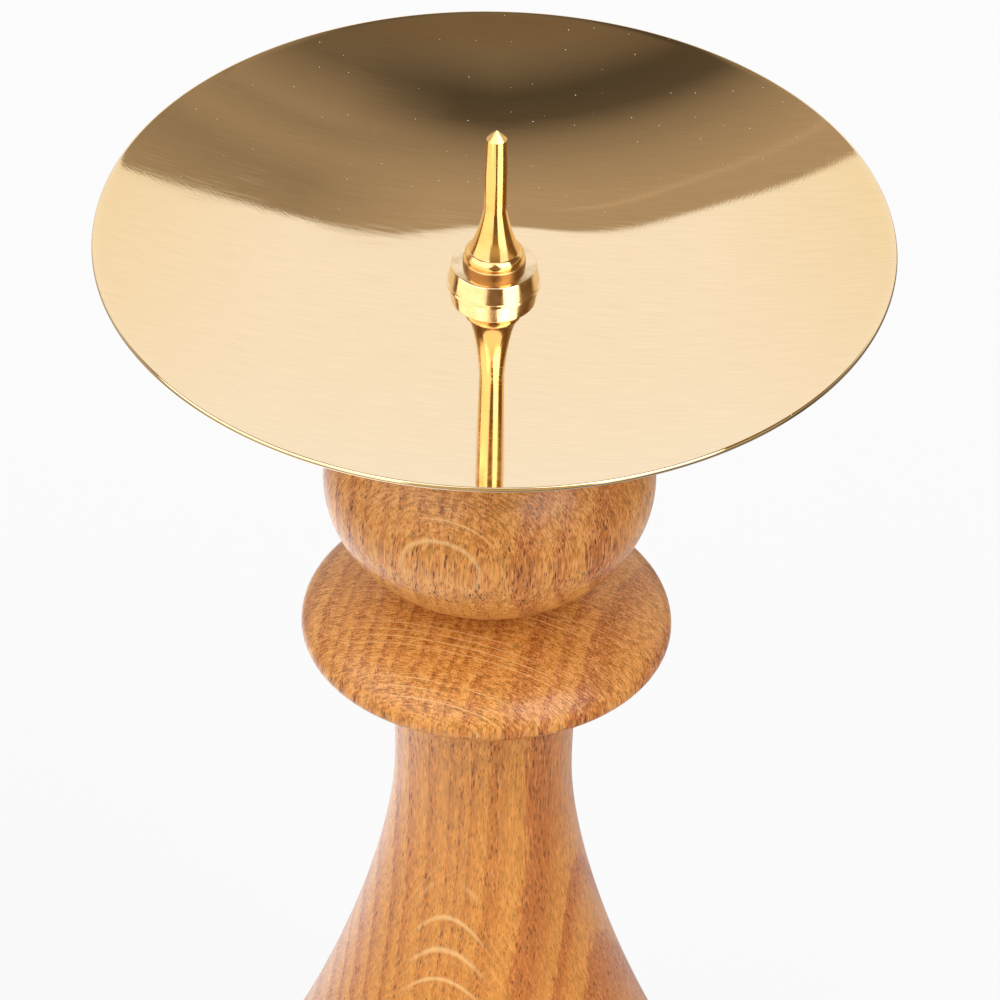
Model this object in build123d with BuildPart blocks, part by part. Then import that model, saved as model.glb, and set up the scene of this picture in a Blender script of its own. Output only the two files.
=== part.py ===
from build123d import *
import os
from math import acos, asin, cos, degrees, pi, sin, tau

# A pricket candle stand: a turned oak column on a turned foot, with a brass drip pan, a brass
# collar and a brass spike held by one steel stud. Millimetres, +Z up. The origin is the middle
# of the felt under the foot, on the floor.

# Felt pad, let into the underside of the foot
felt_radius = 57.0
felt_thickness = 2.0
felt_recess_depth = 1.0
felt_gap = 0.5

# Foot: a rounded band at the floor, then the lower end of the trumpet
foot_radius = 66.5
foot_band_height = 10.0
foot_band_round = 4.5
foot_quirk = 1.5
foot_top_height = 44.0
trumpet_foot_radius = 62.0
foot_curve_radius_share = 0.46
foot_curve_height_share = 0.59

# Round tenon of the column, glued into the foot
tenon_radius = 15.0
tenon_length = 24.0
tenon_chamfer = 1.0
mortise_end_gap = 1.0
glue_gap = 0.05

# Column: the trumpet from the foot up to the narrowest place of the neck
trumpet_joint_radius = 46.5
trumpet_low_pull_radius_share = 0.56
trumpet_low_pull_height_share = 0.245
trumpet_high_pull_height_share = 0.71
neck_radius = 17.2
neck_below_ring = 33.7
cove_width = 8.0

# Column: the ring, a dome with a crisp lower edge
ring_radius = 35.6
ring_below_bulb = 35.3
ring_dome = 12.4
ring_edge_round = 2.0

# Column: the bulb, about as round above its widest place as below it
crevice_radius = 14.0
bulb_radius = 31.7
bulb_lower_height = 24.7
bulb_upper_height = 26.0
bulb_below_seat = 45.0

# Column: the cup that flares from the bulb to the pan's flat seat, hidden by the pan
cup_foot_radius = 15.0
cup_rim_height = 4.0
seat_radius = 24.0
seat_height = 252.0
seat_round = 1.5

# Steel stud: a wood screw below the seat, a machine thread above it
stud_radius = 2.5
stud_depth = 40.0
stud_point = 6.0
stud_chamfer = 0.6
stud_engaged = 5.6
screw_gap = 0.05
pilot_end_gap = 1.0

# Drip pan: spun sheet, flat in the middle, then one arc out to the rim
pan_radius = 75.0
pan_depth = 9.0
pan_sheet = 1.0
pan_flat_radius = 10.0
pan_edge_round = 0.3
stud_clearance = 0.3

# Collar between the pan and the spike
collar_height = 3.9
collar_lip_radius = 8.85
collar_lip_height = 0.3
collar_waist_radius = 8.55
collar_top_radius = 8.05
collar_edge_round = 0.25

# Spike, with heights above the top of the collar
flange_radius = 5.9
flange_height = 1.65
flange_round = 0.45
bead_foot_radius = 5.4
bead_foot_height = 1.75
bead_radius = 5.62
bead_height = 2.5
bead_top_radius = 4.95
bead_top_height = 3.5
flare_radius = 4.75
flare_height = 3.6
flare_pull_radius = 3.5
flare_pull_height = 6.1
shank_pull_radius = 2.63
shank_pull_height = 9.6
shank_radius = 2.12
shank_bottom_height = 12.6
shank_top_height = 22.1
tip_radius = 1.92
tip_bottom_height = 28.8
tip_height = 1.7
tip_flat_radius = 0.15
tip_sides = 8
spike_bore_depth = 6.3
spike_bore_point = 1.4
thread_gap = 0.05

# Places worked out from the sizes above
foot_bottom = felt_thickness - felt_recess_depth
band_top = foot_bottom + foot_band_height
tenon_bottom = foot_top_height - tenon_length
mortise_bottom = tenon_bottom - mortise_end_gap
foot_curve_start = band_top + foot_quirk
foot_curve_radius = trumpet_joint_radius + foot_curve_radius_share * (
    trumpet_foot_radius - trumpet_joint_radius
)
foot_curve_height = foot_curve_start + foot_curve_height_share * (
    foot_top_height - foot_curve_start
)
bulb_height = seat_height - bulb_below_seat
ring_height = bulb_height - ring_below_bulb
ring_underside = ring_height - ring_edge_round
neck_height = ring_height - neck_below_ring
trumpet_height = neck_height - foot_top_height
trumpet_low_pull_radius = neck_radius + trumpet_low_pull_radius_share * (
    trumpet_joint_radius - neck_radius
)
trumpet_low_pull_height = foot_top_height + trumpet_low_pull_height_share * trumpet_height
trumpet_high_pull_height = foot_top_height + trumpet_high_pull_height_share * trumpet_height
cove_radius = neck_radius + cove_width
crevice_angle = degrees(acos(crevice_radius / ring_radius))
bulb_low_angle = degrees(acos(crevice_radius / bulb_radius))
bulb_high_angle = degrees(acos(cup_foot_radius / bulb_radius))
cup_rim_bottom = seat_height - cup_rim_height
dish_floor = seat_height + pan_sheet
collar_top = dish_floor + collar_height
stud_bottom = seat_height - stud_depth
stud_top = collar_top + stud_engaged
stud_hole_radius = stud_radius + stud_clearance

os.makedirs("parts", exist_ok=True)

with BuildPart() as felt_pad:
    Cylinder(felt_radius, felt_thickness, align=(Align.CENTER, Align.CENTER, Align.MIN))
felt_pad.part.label = "felt_pad"
export_step(felt_pad.part, "parts/felt_pad.step")

with BuildPart() as oak_foot:
    with BuildSketch(Plane.XZ):
        with BuildLine():
            recess = Polyline(
                (0, felt_thickness),
                (felt_radius + felt_gap, felt_thickness),
                (felt_radius + felt_gap, foot_bottom),
                (foot_radius - foot_band_round, foot_bottom),
            )
            band_low = RadiusArc(
                recess @ 1, (foot_radius, foot_bottom + foot_band_round), -foot_band_round
            )
            band_side = Line(band_low @ 1, (foot_radius, band_top - foot_band_round))
            band_high = RadiusArc(
                band_side @ 1, (foot_radius - foot_band_round, band_top), -foot_band_round
            )
            quirk = Polyline(
                band_high @ 1, (trumpet_foot_radius, band_top),
                (trumpet_foot_radius, foot_curve_start),
            )
            sweep_up = Bezier(
                quirk @ 1, (foot_curve_radius, foot_curve_height),
                (trumpet_joint_radius, foot_top_height),
            )
            mortise = Polyline(
                sweep_up @ 1,
                (tenon_radius + glue_gap, foot_top_height),
                (tenon_radius + glue_gap, mortise_bottom),
                (0, mortise_bottom),
                (0, felt_thickness),
            )
        make_face()
    revolve(axis=Axis.Z)
oak_foot.part.label = "oak_foot"
export_step(oak_foot.part, "parts/oak_foot.step")

with BuildPart() as oak_column:
    with BuildSketch(Plane.XZ):
        with BuildLine():
            tenon = Polyline(
                (0, seat_height),
                (0, tenon_bottom),
                (tenon_radius - tenon_chamfer, tenon_bottom),
                (tenon_radius, tenon_bottom + tenon_chamfer),
                (tenon_radius, foot_top_height),
                (trumpet_joint_radius, foot_top_height),
            )
            trumpet = Bezier(
                tenon @ 1,
                (trumpet_low_pull_radius, trumpet_low_pull_height),
                (neck_radius, trumpet_high_pull_height),
                (neck_radius, neck_height),
            )
            cove = Bezier(
                trumpet @ 1, (neck_radius, ring_underside), (cove_radius, ring_underside)
            )
            underside = Line(cove @ 1, (ring_radius - ring_edge_round, ring_underside))
            ring_edge = RadiusArc(underside @ 1, (ring_radius, ring_height), -ring_edge_round)
            dome = EllipticalCenterArc(
                (0, ring_height), ring_radius, ring_dome, arc_size=crevice_angle
            )
            bulb_low = EllipticalCenterArc(
                (0, bulb_height), bulb_radius, bulb_lower_height,
                start_angle=-bulb_low_angle, arc_size=bulb_low_angle,
            )
            crevice = Line(dome @ 1, bulb_low @ 0)
            bulb_high = EllipticalCenterArc(
                (0, bulb_height), bulb_radius, bulb_upper_height, arc_size=bulb_high_angle
            )
            cup = Bezier(
                bulb_high @ 1,
                (cup_foot_radius, cup_rim_bottom),
                (seat_radius, cup_rim_bottom),
            )
            seat = Polyline(cup @ 1, (seat_radius, seat_height), (0, seat_height))
        make_face()
    revolve(axis=Axis.Z)
    seat_edge = oak_column.edges().filter_by(GeomType.CIRCLE).sort_by(Axis.Z)[-1]
    fillet(seat_edge, seat_round)
    with Locations((0, 0, seat_height)):
        Hole(stud_radius + screw_gap, stud_depth + pilot_end_gap)
oak_column.part.label = "oak_column"
export_step(oak_column.part, "parts/oak_column.step")

with BuildPart() as hanger_bolt:
    with BuildSketch(Plane.XZ):
        with BuildLine():
            Polyline(
                (0, stud_bottom),
                (stud_radius, stud_bottom + stud_point),
                (stud_radius, stud_top - stud_chamfer),
                (stud_radius - stud_chamfer, stud_top),
                (0, stud_top),
                close=True,
            )
        make_face()
    revolve(axis=Axis.Z)
hanger_bolt.part.label = "hanger_bolt"
export_step(hanger_bolt.part, "parts/hanger_bolt.step")

# The dish is drawn on the inside of the sheet. Its arc leaves the flat middle level and ends at
# the rim, and the outside is the same arc, one sheet thickness further from the arc's centre.
arc_reach = pan_radius - pan_flat_radius
arc_radius = (arc_reach**2 + pan_depth**2) / (2 * pan_depth)
rim_angle = asin(arc_reach / arc_radius)
rim_out = pan_radius + pan_sheet * sin(rim_angle)
rim_down = dish_floor + pan_depth - pan_sheet * cos(rim_angle)

with BuildPart() as drip_pan:
    with BuildSketch(Plane.XZ):
        with BuildLine():
            inner_arc = RadiusArc(
                (pan_flat_radius, dish_floor), (pan_radius, dish_floor + pan_depth), -arc_radius
            )
            outer_arc = RadiusArc(
                (pan_flat_radius, seat_height), (rim_out, rim_down), -(arc_radius + pan_sheet)
            )
            rim = Line(inner_arc @ 1, outer_arc @ 1)
            middle = Polyline(
                inner_arc @ 0,
                (stud_hole_radius, dish_floor),
                (stud_hole_radius, seat_height),
                outer_arc @ 0,
            )
        make_face()
    revolve(axis=Axis.Z)
    rim_edges = drip_pan.edges().sort_by(SortBy.LENGTH)[-2:]
    fillet(rim_edges, pan_edge_round)
drip_pan.part.label = "drip_pan"
export_step(drip_pan.part, "parts/drip_pan.step")

with BuildPart() as collar:
    with BuildSketch(Plane.XZ):
        with BuildLine():
            foot = Polyline(
                (stud_hole_radius, dish_floor),
                (collar_lip_radius, dish_floor),
                (collar_lip_radius, dish_floor + collar_lip_height),
                (collar_waist_radius, dish_floor + collar_lip_height),
            )
            side = Line(foot @ 1, (collar_top_radius, collar_top))
            top = Polyline(
                side @ 1, (stud_hole_radius, collar_top), (stud_hole_radius, dish_floor)
            )
        make_face()
    revolve(axis=Axis.Z)
    top_edge = collar.edges().group_by(Axis.Z)[-1].sort_by(SortBy.RADIUS)[-1]
    fillet(top_edge, collar_edge_round)
collar.part.label = "collar"
export_step(collar.part, "parts/collar.step")

# The tip's facets are cut off the round rod, so each ends in a scallop on it. A facet leans in
# from its foot on the rod to the small flat at the point, and one edge between two looks forward.
facet_share = cos(pi / tip_sides)
facet_run = (tip_radius - tip_flat_radius) * facet_share
tip_top = collar_top + tip_bottom_height + tip_height

with BuildPart() as pricket:
    with BuildSketch(Plane.XZ):
        with BuildLine():
            bore = Polyline(
                (0, collar_top + spike_bore_depth + spike_bore_point),
                (stud_radius + thread_gap, collar_top + spike_bore_depth),
                (stud_radius + thread_gap, collar_top),
                (flange_radius, collar_top),
                (flange_radius, collar_top + flange_height - flange_round),
            )
            flange_edge = RadiusArc(
                bore @ 1, (flange_radius - flange_round, collar_top + flange_height), -flange_round
            )
            groove = Polyline(
                flange_edge @ 1,
                (bead_foot_radius, collar_top + flange_height),
                (bead_foot_radius, collar_top + bead_foot_height),
            )
            bead = ThreePointArc(
                groove @ 1,
                (bead_radius, collar_top + bead_height),
                (bead_top_radius, collar_top + bead_top_height),
            )
            step = Line(bead @ 1, (flare_radius, collar_top + flare_height))
            flare = Bezier(
                step @ 1,
                (flare_pull_radius, collar_top + flare_pull_height),
                (shank_pull_radius, collar_top + shank_pull_height),
                (shank_radius, collar_top + shank_bottom_height),
            )
            shank = Polyline(
                flare @ 1,
                (shank_radius, collar_top + shank_top_height),
                (tip_radius, collar_top + tip_bottom_height),
                (tip_radius, tip_top),
                (0, tip_top),
                bore @ 0,
            )
        make_face()
    revolve(axis=Axis.Z)
    for facet in range(tip_sides):
        bearing = (facet + 1 / 2) * tau / tip_sides
        facet_plane = Plane(
            origin=(
                tip_flat_radius * facet_share * cos(bearing),
                tip_flat_radius * facet_share * sin(bearing),
                tip_top,
            ),
            z_dir=(tip_height * cos(bearing), tip_height * sin(bearing), facet_run),
        )
        split(bisect_by=facet_plane, keep=Keep.BOTTOM)
pricket.part.label = "pricket"
export_step(pricket.part, "parts/pricket.step")
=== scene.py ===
"""Looks of a turned oak candle stand with a brass drip pan and a brass spike.

Each piece is turned like the real one: an outline is drawn point by point beside the axis and spun
round it. Sizes are in metres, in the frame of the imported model: +Z up along the turning axis.
"""

from math import acos, asin, cos, hypot, pi, radians, sin, tau

import bpy
from bpy.props import FloatProperty, FloatVectorProperty, IntProperty, PointerProperty
from mathutils import Matrix, Vector


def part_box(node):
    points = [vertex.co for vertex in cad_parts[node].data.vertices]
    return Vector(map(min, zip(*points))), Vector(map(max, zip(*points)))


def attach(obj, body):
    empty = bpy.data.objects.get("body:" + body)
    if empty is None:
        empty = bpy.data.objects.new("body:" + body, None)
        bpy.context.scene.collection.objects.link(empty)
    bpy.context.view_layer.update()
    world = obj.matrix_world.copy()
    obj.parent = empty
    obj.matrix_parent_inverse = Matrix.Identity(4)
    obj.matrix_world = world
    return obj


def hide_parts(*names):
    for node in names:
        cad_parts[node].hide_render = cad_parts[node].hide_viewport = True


bl_info = {
    "name": "Pricket candle stand",
    "version": (1, 0, 0),
    "blender": (4, 5, 0),
    "location": "View3D > Sidebar > Candle stand",
    "description": "Turns an oak candle stand with its brass drip pan and spike",
    "category": "Add Mesh",
}

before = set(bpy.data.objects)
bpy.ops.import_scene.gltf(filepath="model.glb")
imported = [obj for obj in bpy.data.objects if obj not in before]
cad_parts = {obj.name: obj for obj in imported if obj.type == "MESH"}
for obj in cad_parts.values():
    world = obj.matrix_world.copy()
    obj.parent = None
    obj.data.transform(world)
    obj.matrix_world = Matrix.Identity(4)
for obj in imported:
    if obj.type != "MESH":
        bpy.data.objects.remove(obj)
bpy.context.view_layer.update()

MM = 0.001
COLUMN_LOW, COLUMN_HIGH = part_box("oak_column")
FOOT_LOW, FOOT_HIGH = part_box("oak_foot")
FELT_LOW, FELT_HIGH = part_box("felt_pad")
STUD_LOW, STUD_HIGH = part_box("hanger_bolt")
PAN_LOW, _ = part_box("drip_pan")
COLLAR_LOW, COLLAR_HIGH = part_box("collar")
SPIKE_LOW, SPIKE_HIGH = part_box("pricket")


def length(label, about, default):
    """A size that a user may change, kept in metres."""
    return FloatProperty(
        name=label, description=about, default=default, min=0, subtype="DISTANCE", unit="LENGTH"
    )


def linear(hex_value):
    """An sRGB hex value as linear red, green, blue and alpha."""
    shares = [int(hex_value[i:i + 2], 16) / 255 for i in (0, 2, 4)]
    bent = [s / 12.92 if s <= 0.04045 else ((s + 0.055) / 1.055) ** 2.4 for s in shares]
    return (*bent, 1)


def colour(label, about, default):
    """A colour that a user may change, given as an sRGB hex value."""
    return FloatVectorProperty(
        name=label, description=about, default=linear(default), size=4, min=0, max=1, subtype="COLOR"
    )


class OakSizes(bpy.types.PropertyGroup):
    """The oak column, its foot and the felt below."""

    joint_radius: length("Joint radius", "Trumpet where it stands on the foot", 46.5 * MM)
    neck_radius: length("Neck radius", "Narrowest place of the neck", 17.2 * MM)
    neck_below_ring: length("Neck below ring", "From the ring's edge down to the neck", 33.7 * MM)
    cove_width: length("Cove width", "How far the cove runs out under the ring", 8 * MM)
    ring_radius: length("Ring radius", "Edge of the ring", 35.6 * MM)
    ring_below_bulb: length("Ring below bulb", "From the bulb's widest place down", 35.3 * MM)
    ring_dome: length("Ring dome", "Height of the ring's dome over its edge", 12.4 * MM)
    ring_edge: length("Ring edge", "Rounding of the ring's lower edge", 2 * MM)
    crevice_radius: length("Crevice radius", "Wood left between ring and bulb", 14 * MM)
    bulb_radius: length("Bulb radius", "Widest place of the bulb", 31.7 * MM)
    bulb_lower: length("Bulb lower height", "Height of the bulb's lower half", 24.7 * MM)
    bulb_upper: length("Bulb upper height", "Height of the bulb's upper half", 26 * MM)
    bulb_below_seat: length("Bulb below seat", "From the seat down to the widest place", 45 * MM)
    cup_foot: length("Cup foot radius", "Wood left between bulb and cup", 15 * MM)
    cup_rim: length("Cup rim", "Upright rim of the cup under the pan", 4 * MM)
    seat_radius: length("Seat radius", "Flat top that carries the pan", 24 * MM)
    seat_round: length("Seat rounding", "Rounding of the seat's edge", 1.5 * MM)
    pilot_radius: length("Pilot hole radius", "Hole for the stud", 2.55 * MM)
    pilot_depth: length("Pilot hole depth", "Depth of that hole", 41 * MM)
    tenon_radius: length("Tenon radius", "Round tenon under the column", 15 * MM)
    tenon_chamfer: length("Tenon chamfer", "Chamfer of the tenon's end", 1 * MM)
    glue_gap: length("Glue gap", "Room for glue round the tenon", 0.05 * MM)
    mortise_depth: length("Mortise depth", "Hole for the tenon in the foot", 25 * MM)
    band_height: length("Foot band height", "Rounded band at the floor", 10 * MM)
    band_round: length("Foot band rounding", "Rounding of that band", 4.5 * MM)
    trumpet_foot: length("Trumpet foot radius", "Trumpet where it meets the band", 62 * MM)
    quirk: length("Quirk", "Small upright step above the band", 1.5 * MM)
    felt_round: length("Felt edge", "Soft rounding of the cut felt", 0.4 * MM)
    felt_gap: length("Felt gap", "Room round the felt in its recess", 0.5 * MM)
    latewood: colour("Latewood", "Pale dense wood of each year", "DB903C")
    earlywood: colour("Earlywood", "Open wood at the start of each year", "C26E28")
    pore: colour("Pores", "Open vessels, dark with lacquer", "6E3510")
    ray: colour("Rays", "Pale flecks where a ray is cut", "F0C382")
    felt: colour("Felt", "Wool felt", "3E4A36")
    # Painted shade: the felt's colour in the hollows between its fibres.
    felt_hollow_shade: colour("Deep felt", "Wool felt between its fibres", "2A3325")


class BrassSizes(bpy.types.PropertyGroup):
    """The drip pan, the collar and the spike."""

    pan_radius: length("Pan radius", "Rim of the pan, inside the sheet", 75 * MM)
    pan_depth: length("Pan depth", "From the rim down to the flat middle", 9 * MM)
    sheet: length("Sheet", "Thickness of the pan's sheet", 1 * MM)
    flat_radius: length("Flat middle", "Flat middle of the pan", 10 * MM)
    hole_radius: length("Stud hole", "Hole for the stud in pan and collar", 2.8 * MM)
    rim_round: length("Rim rounding", "Rounding of the pan's cut edge", 0.3 * MM)
    lip_height: length("Collar lip", "Thin lip at the collar's foot", 0.3 * MM)
    waist_radius: length("Collar waist", "Collar above its lip", 8.55 * MM)
    collar_top: length("Collar top", "Top edge of the collar", 8.05 * MM)
    collar_round: length("Collar edge", "Rounding of the collar's top edge", 0.25 * MM)
    flange_height: length("Flange height", "Flange of the spike on the collar", 1.65 * MM)
    flange_round: length("Flange rounding", "Rounding of the flange's upper edge", 0.45 * MM)
    bead_foot: length("Bead foot radius", "Bead where it stands on the flange", 5.4 * MM)
    bead_low: length("Bead foot height", "Foot of the bead over the collar", 1.75 * MM)
    bead_pull: length("Bead pull radius", "How far the bead is drawn out", 6 * MM)
    bead_middle: length("Bead middle", "Widest place of the bead over the collar", 2.6 * MM)
    bead_top: length("Bead top radius", "Bead where it meets the flare", 4.95 * MM)
    bead_high: length("Bead top height", "Top of the bead over the collar", 3.5 * MM)
    flare_radius: length("Flare radius", "Foot of the flare", 4.75 * MM)
    flare_low: length("Flare foot height", "Foot of the flare over the collar", 3.6 * MM)
    flare_pull: length("Flare pull radius", "How far the flare keeps out", 3.5 * MM)
    flare_pull_height: length("Flare pull height", "Height of that pull over the collar", 6.1 * MM)
    shank_pull: length("Shank pull radius", "How the flare runs into the shank", 2.63 * MM)
    shank_pull_height: length("Shank pull height", "Height of that pull over the collar", 9.6 * MM)
    shank_radius: length("Shank radius", "Straight stretch of the spike", 2.12 * MM)
    shank_bottom: length("Shank bottom", "Where the flare ends", 12.6 * MM)
    shank_top: length("Shank top", "Where the taper begins", 22.1 * MM)
    tip_radius: length("Tip radius", "Spike under its cut tip", 1.92 * MM)
    tip_bottom: length("Tip bottom", "Where the cut tip begins", 28.8 * MM)
    tip_flat: length("Tip flat", "Blunt end of the tip", 0.15 * MM)
    tip_sides: IntProperty(name="Tip sides", description="Facets of the cut tip", default=8, min=3)
    bore_radius: length("Bore radius", "Threaded bore of the spike", 2.55 * MM)
    bore_depth: length("Bore depth", "Depth of that bore", 6.3 * MM)
    bore_point: length("Bore point", "Drilled point of that bore", 1.4 * MM)
    pan_metal: colour("Pan brass", "Spun and polished sheet", "F7DEB8")
    rod_metal: colour("Rod brass", "Turned rod, yellower than the sheet", "F1C98A")
    tarnish: colour("Tarnish", "Duller patches of the rod", "C08C44")
    # Painted shade: the dark colour of the flange in the corner at the spike's foot, where it sits in
    # shadow.
    painted_foot_shade: colour("Residue", "Old polish in the corner at the spike's foot", "7E4E1A")
    dust: colour("Dust", "Specks of dust and lint", "EFE6D2")


class StudSizes(bpy.types.PropertyGroup):
    """The steel stud that holds pan, collar and spike."""

    pitch: length("Thread pitch", "Rise of the machine thread in a turn", 0.8 * MM)
    wood_pitch: length("Wood thread pitch", "Rise of the wood screw in a turn", 2.2 * MM)
    depth: length("Thread depth", "Height of the thread's ridge", 0.43 * MM)
    sunk: length("Thread root", "How far the ridge is sunk in the core", 0.05 * MM)
    point: length("Point", "Pointed end in the wood", 6 * MM)
    plain: length("Plain stretch", "Plain shank between the two threads", 6 * MM)
    chamfer: length("Chamfer", "Chamfer of the upper end", 0.6 * MM)
    zinc: colour("Zinc", "Zinc plated steel", "C3C2BC")
    zinc_bloom: colour("Zinc bloom", "Duller bloom on the zinc", "9C9A92")


class StageSizes(bpy.types.PropertyGroup):
    """Camera, floor and studio light."""

    elevation: FloatProperty(
        name="Camera elevation", description="Line of sight over the horizon",
        default=radians(37.9), subtype="ANGLE",
    )
    roll: FloatProperty(
        name="Camera roll", description="Turn of the camera about its line of sight",
        default=radians(1.3), subtype="ANGLE",
    )
    distance: length("Camera distance", "From the aim point to the camera", 1.8)
    aim: FloatVectorProperty(
        name="Camera aim", description="Point in the middle of the picture",
        default=(2.1 * MM, 0, 200.9 * MM), subtype="TRANSLATION", unit="LENGTH",
    )
    lens: FloatProperty(
        name="Lens", description="Focal length", default=340.2, subtype="DISTANCE_CAMERA"
    )
    floor_size: length("Floor size", "Side of the pale floor", 3)
    floor: colour("Floor", "Pale studio floor", "E2E2E2")


OUTLINE_STEPS = 24
TURN_STEPS = 192
PAN_STEPS = 288
COLLAR_STEPS = 128
SPIKE_STEPS = 96
STUD_STEPS = 48
THREAD_STEPS = 24
RIM_STEPS = 6

# Where the curves of trumpet and foot are pulled to, as shares of their run in radius and height.
TRUMPET_LOW_PULL = (0.56, 0.245)
TRUMPET_HIGH_PULL = 0.71
FOOT_PULL = (0.46, 0.59)

# Crest and width of a thread's ridge, as shares of its pitch.
THREAD_CREST = 0.45
THREAD_WIDTH = 0.9

WELD = 0.001 * MM
SHARP = radians(35)
FACET_SHARP = radians(20)
PER_MM = (1000, 1000, 1000)

# Oak, in millimetres: across the years, along the rays and up the fibres.
GRAIN_TURN = radians(16.5)
WAVE_SIZE = (45, 45, 160)
WAVE_REACH = (9, 1.4, 0)
YEAR_WIDTH = 3.4
WIDE_YEAR = 7
WIDE_FROM = 5
# Share of open early wood in the course of a year, as (place, share) stops.
EARLY_WOOD = [(0, 1), (0.22, 0.9), (0.65, 0), (0.96, 0), (1, 1)]
RAGGED_SIZE = (0.7, 0.7, 7)
LARGE_PORE = (0.65, 0.65, 3.6)
SMALL_PORE = (0.38, 0.38, 2.2)
RAY_START = 32.9
RAY_LEAN = -0.011
RAY_TURN = 7
# Large and small rays: gap, least and greatest share of it that a ray fills, how many of each turn
# are there, reach of a patch, where patches begin, strength on a flat and on a square cut.
RAY_KINDS = (
    (1.6, 0.08, 0.15, 4, (30, 1, 24), 0.4, 1.0, 0.0),
    (0.7, 0.1, 0.2, 7, (11, 1, 9), 0.45, 0.25, 1.0),
)
FIBRE_SIZE = (0.3, 0.3, 5)
MOTTLE_SIZE = (1.1, 1.1, 2.6)
DASH_SIZE = (1.6, 0.22, 3)
BOARD_SIZE = (12, 40, 110)
COARSE_FROM, COARSE_TO = 140, 168

# Hairlines of the pan: bearing, width in millimetres, x of full strength, strength there.
HAIR_LENGTH = 2
HAIRLINES = ((-43, 0.42, -0.04, 1.6), (80, 0.24, 0.05, 1.4))
# Bundles of hairlines: bearing, size in millimetres, noise at which they begin and are full.
BUNDLES = ((-9, (9, 0.5, 1), 0.35, 0.75), (4, (40, 16, 1), 0.35, 0.6))
SPECK_GAP = 6
RING_GAP = 0.25
DULL_SIZE = 3
BLOOM_SIZE = 1.5
FELT_FIBRE = 0.7

# Softboxes: bearing to the right of the camera and elevation in degrees, distance, width and height
# in metres, power in watts. All face the bulb.
SOFTBOXES = {
    "right_softbox": (44.5, 40, 1.5, 1, 1.2, 12.5),
    "left_softbox": (-57.5, 41, 1.5, 2.3, 1.2, 15),
    "top_softbox": (0, 72, 1.6, 1.6, 0.9, 6.5),
}
LIT_POINT = Vector((0, 0, 0.2))
CAMERA_REACH = 50

# What the brass mirrors of the room, as (place, grey) stops. The ceiling goes by the height of the
# line of sight, the skyline gives that height from left to right, boards go by their bearing.
CEILING_LEFT = [
    (0.6, 0.46), (0.69, 0.45), (0.74, 0.35), (0.77, 0.26), (0.8, 0.1), (0.83, 0.08), (0.855, 0.15),
    (0.88, 0.2), (1, 0.18),
]
CEILING_RIGHT = [
    (0.6, 0.38), (0.68, 0.3), (0.72, 0.36), (0.75, 0.3), (0.765, 0.34), (0.8, 0.25), (0.826, 0.16),
    (0.86, 0.17), (1, 0.18),
]
SKYLINE = [
    (0, 0.691), (0.15, 0.685), (0.23, 0.681), (0.3, 0.672), (0.39, 0.654), (0.5, 0.635),
    (0.57, 0.639), (0.7, 0.656), (0.78, 0.66), (0.85, 0.658), (0.97, 0.645),
]
BEAM = [(0.0235, 0), (0.0255, 0.1), (0.0275, 0.1), (0.0295, 0)]
BOARDS = [
    (0.236, 0), (0.244, 1), (0.436, 1), (0.444, 0), (0.572, 0), (0.58, 1), (0.667, 1), (0.675, 0),
]
CEILING_TINT = (1, 0.78, 0.53)
BACKDROP = (1.02, 1.02, 1.02, 1)
BACKDROP_SIDES = (0.98, 0.92, 0.76, 1)
FRONT_LOW = (0.6, 0.44, 0.2, 1)
FRONT_HIGH = (0.18, 0.11, 0.05, 1)
WHITE = (1, 1, 1, 1)


def arc(middle, reach, start, end, steps=OUTLINE_STEPS):
    """Points on an upright ellipse in the outline's plane, by angle from +X."""
    turns = [start + (end - start) * i / steps for i in range(steps + 1)]
    return [(middle[0] + reach[0] * cos(t), middle[1] + reach[1] * sin(t)) for t in turns]


def curve(*pulls, steps=OUTLINE_STEPS):
    """Points on a Bezier curve of any order, by halving the pulls one after the other."""
    points = []
    for i in range(steps + 1):
        share = i / steps
        left = [Vector(p) for p in pulls]
        while len(left) > 1:
            left = [a.lerp(b, share) for a, b in zip(left, left[1:])]
        points.append(tuple(left[0]))
    return points


def drawn(name, outline):
    """Draws an outline of (radius, height) points beside the axis, edge by edge."""
    bpy.ops.object.select_all(action="DESELECT")
    bpy.ops.mesh.primitive_plane_add(size=MM, location=(0, 0, 0))
    piece = bpy.context.object
    piece.name = name
    bpy.ops.object.mode_set(mode="EDIT")
    bpy.ops.mesh.select_all(action="SELECT")
    bpy.ops.mesh.merge(type="CENTER")
    radius, height = outline[0]
    bpy.ops.transform.translate(value=(radius, 0, height))
    for near, far in zip(outline, outline[1:]):
        if hypot(far[0] - near[0], far[1] - near[1]) > WELD:
            step = (far[0] - near[0], 0, far[1] - near[1])
            bpy.ops.mesh.extrude_region_move(TRANSFORM_OT_translate={"value": step})
    bpy.ops.mesh.select_all(action="SELECT")
    bpy.ops.mesh.remove_doubles(threshold=WELD)
    return piece


def closed(piece, sharp=SHARP):
    """Ends the editing of a piece: welds it, turns its faces outward and shades its curves smooth."""
    bpy.ops.mesh.select_all(action="SELECT")
    bpy.ops.mesh.remove_doubles(threshold=WELD)
    bpy.ops.mesh.normals_make_consistent(inside=False)
    bpy.ops.object.mode_set(mode="OBJECT")
    bpy.ops.object.shade_smooth_by_angle(angle=sharp)
    return piece


def turned(name, outline, steps=TURN_STEPS):
    """Spins an outline round the axis into a closed piece."""
    piece = drawn(name, outline)
    bpy.ops.mesh.spin(steps=steps, angle=tau, center=(0, 0, 0), axis=(0, 0, 1))
    return closed(piece)


def joined(piece, *others):
    """Joins other pieces into one and returns it."""
    bpy.ops.object.select_all(action="DESELECT")
    for other in others:
        other.select_set(True)
    piece.select_set(True)
    bpy.context.view_layer.objects.active = piece
    bpy.ops.object.join()
    return piece


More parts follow.
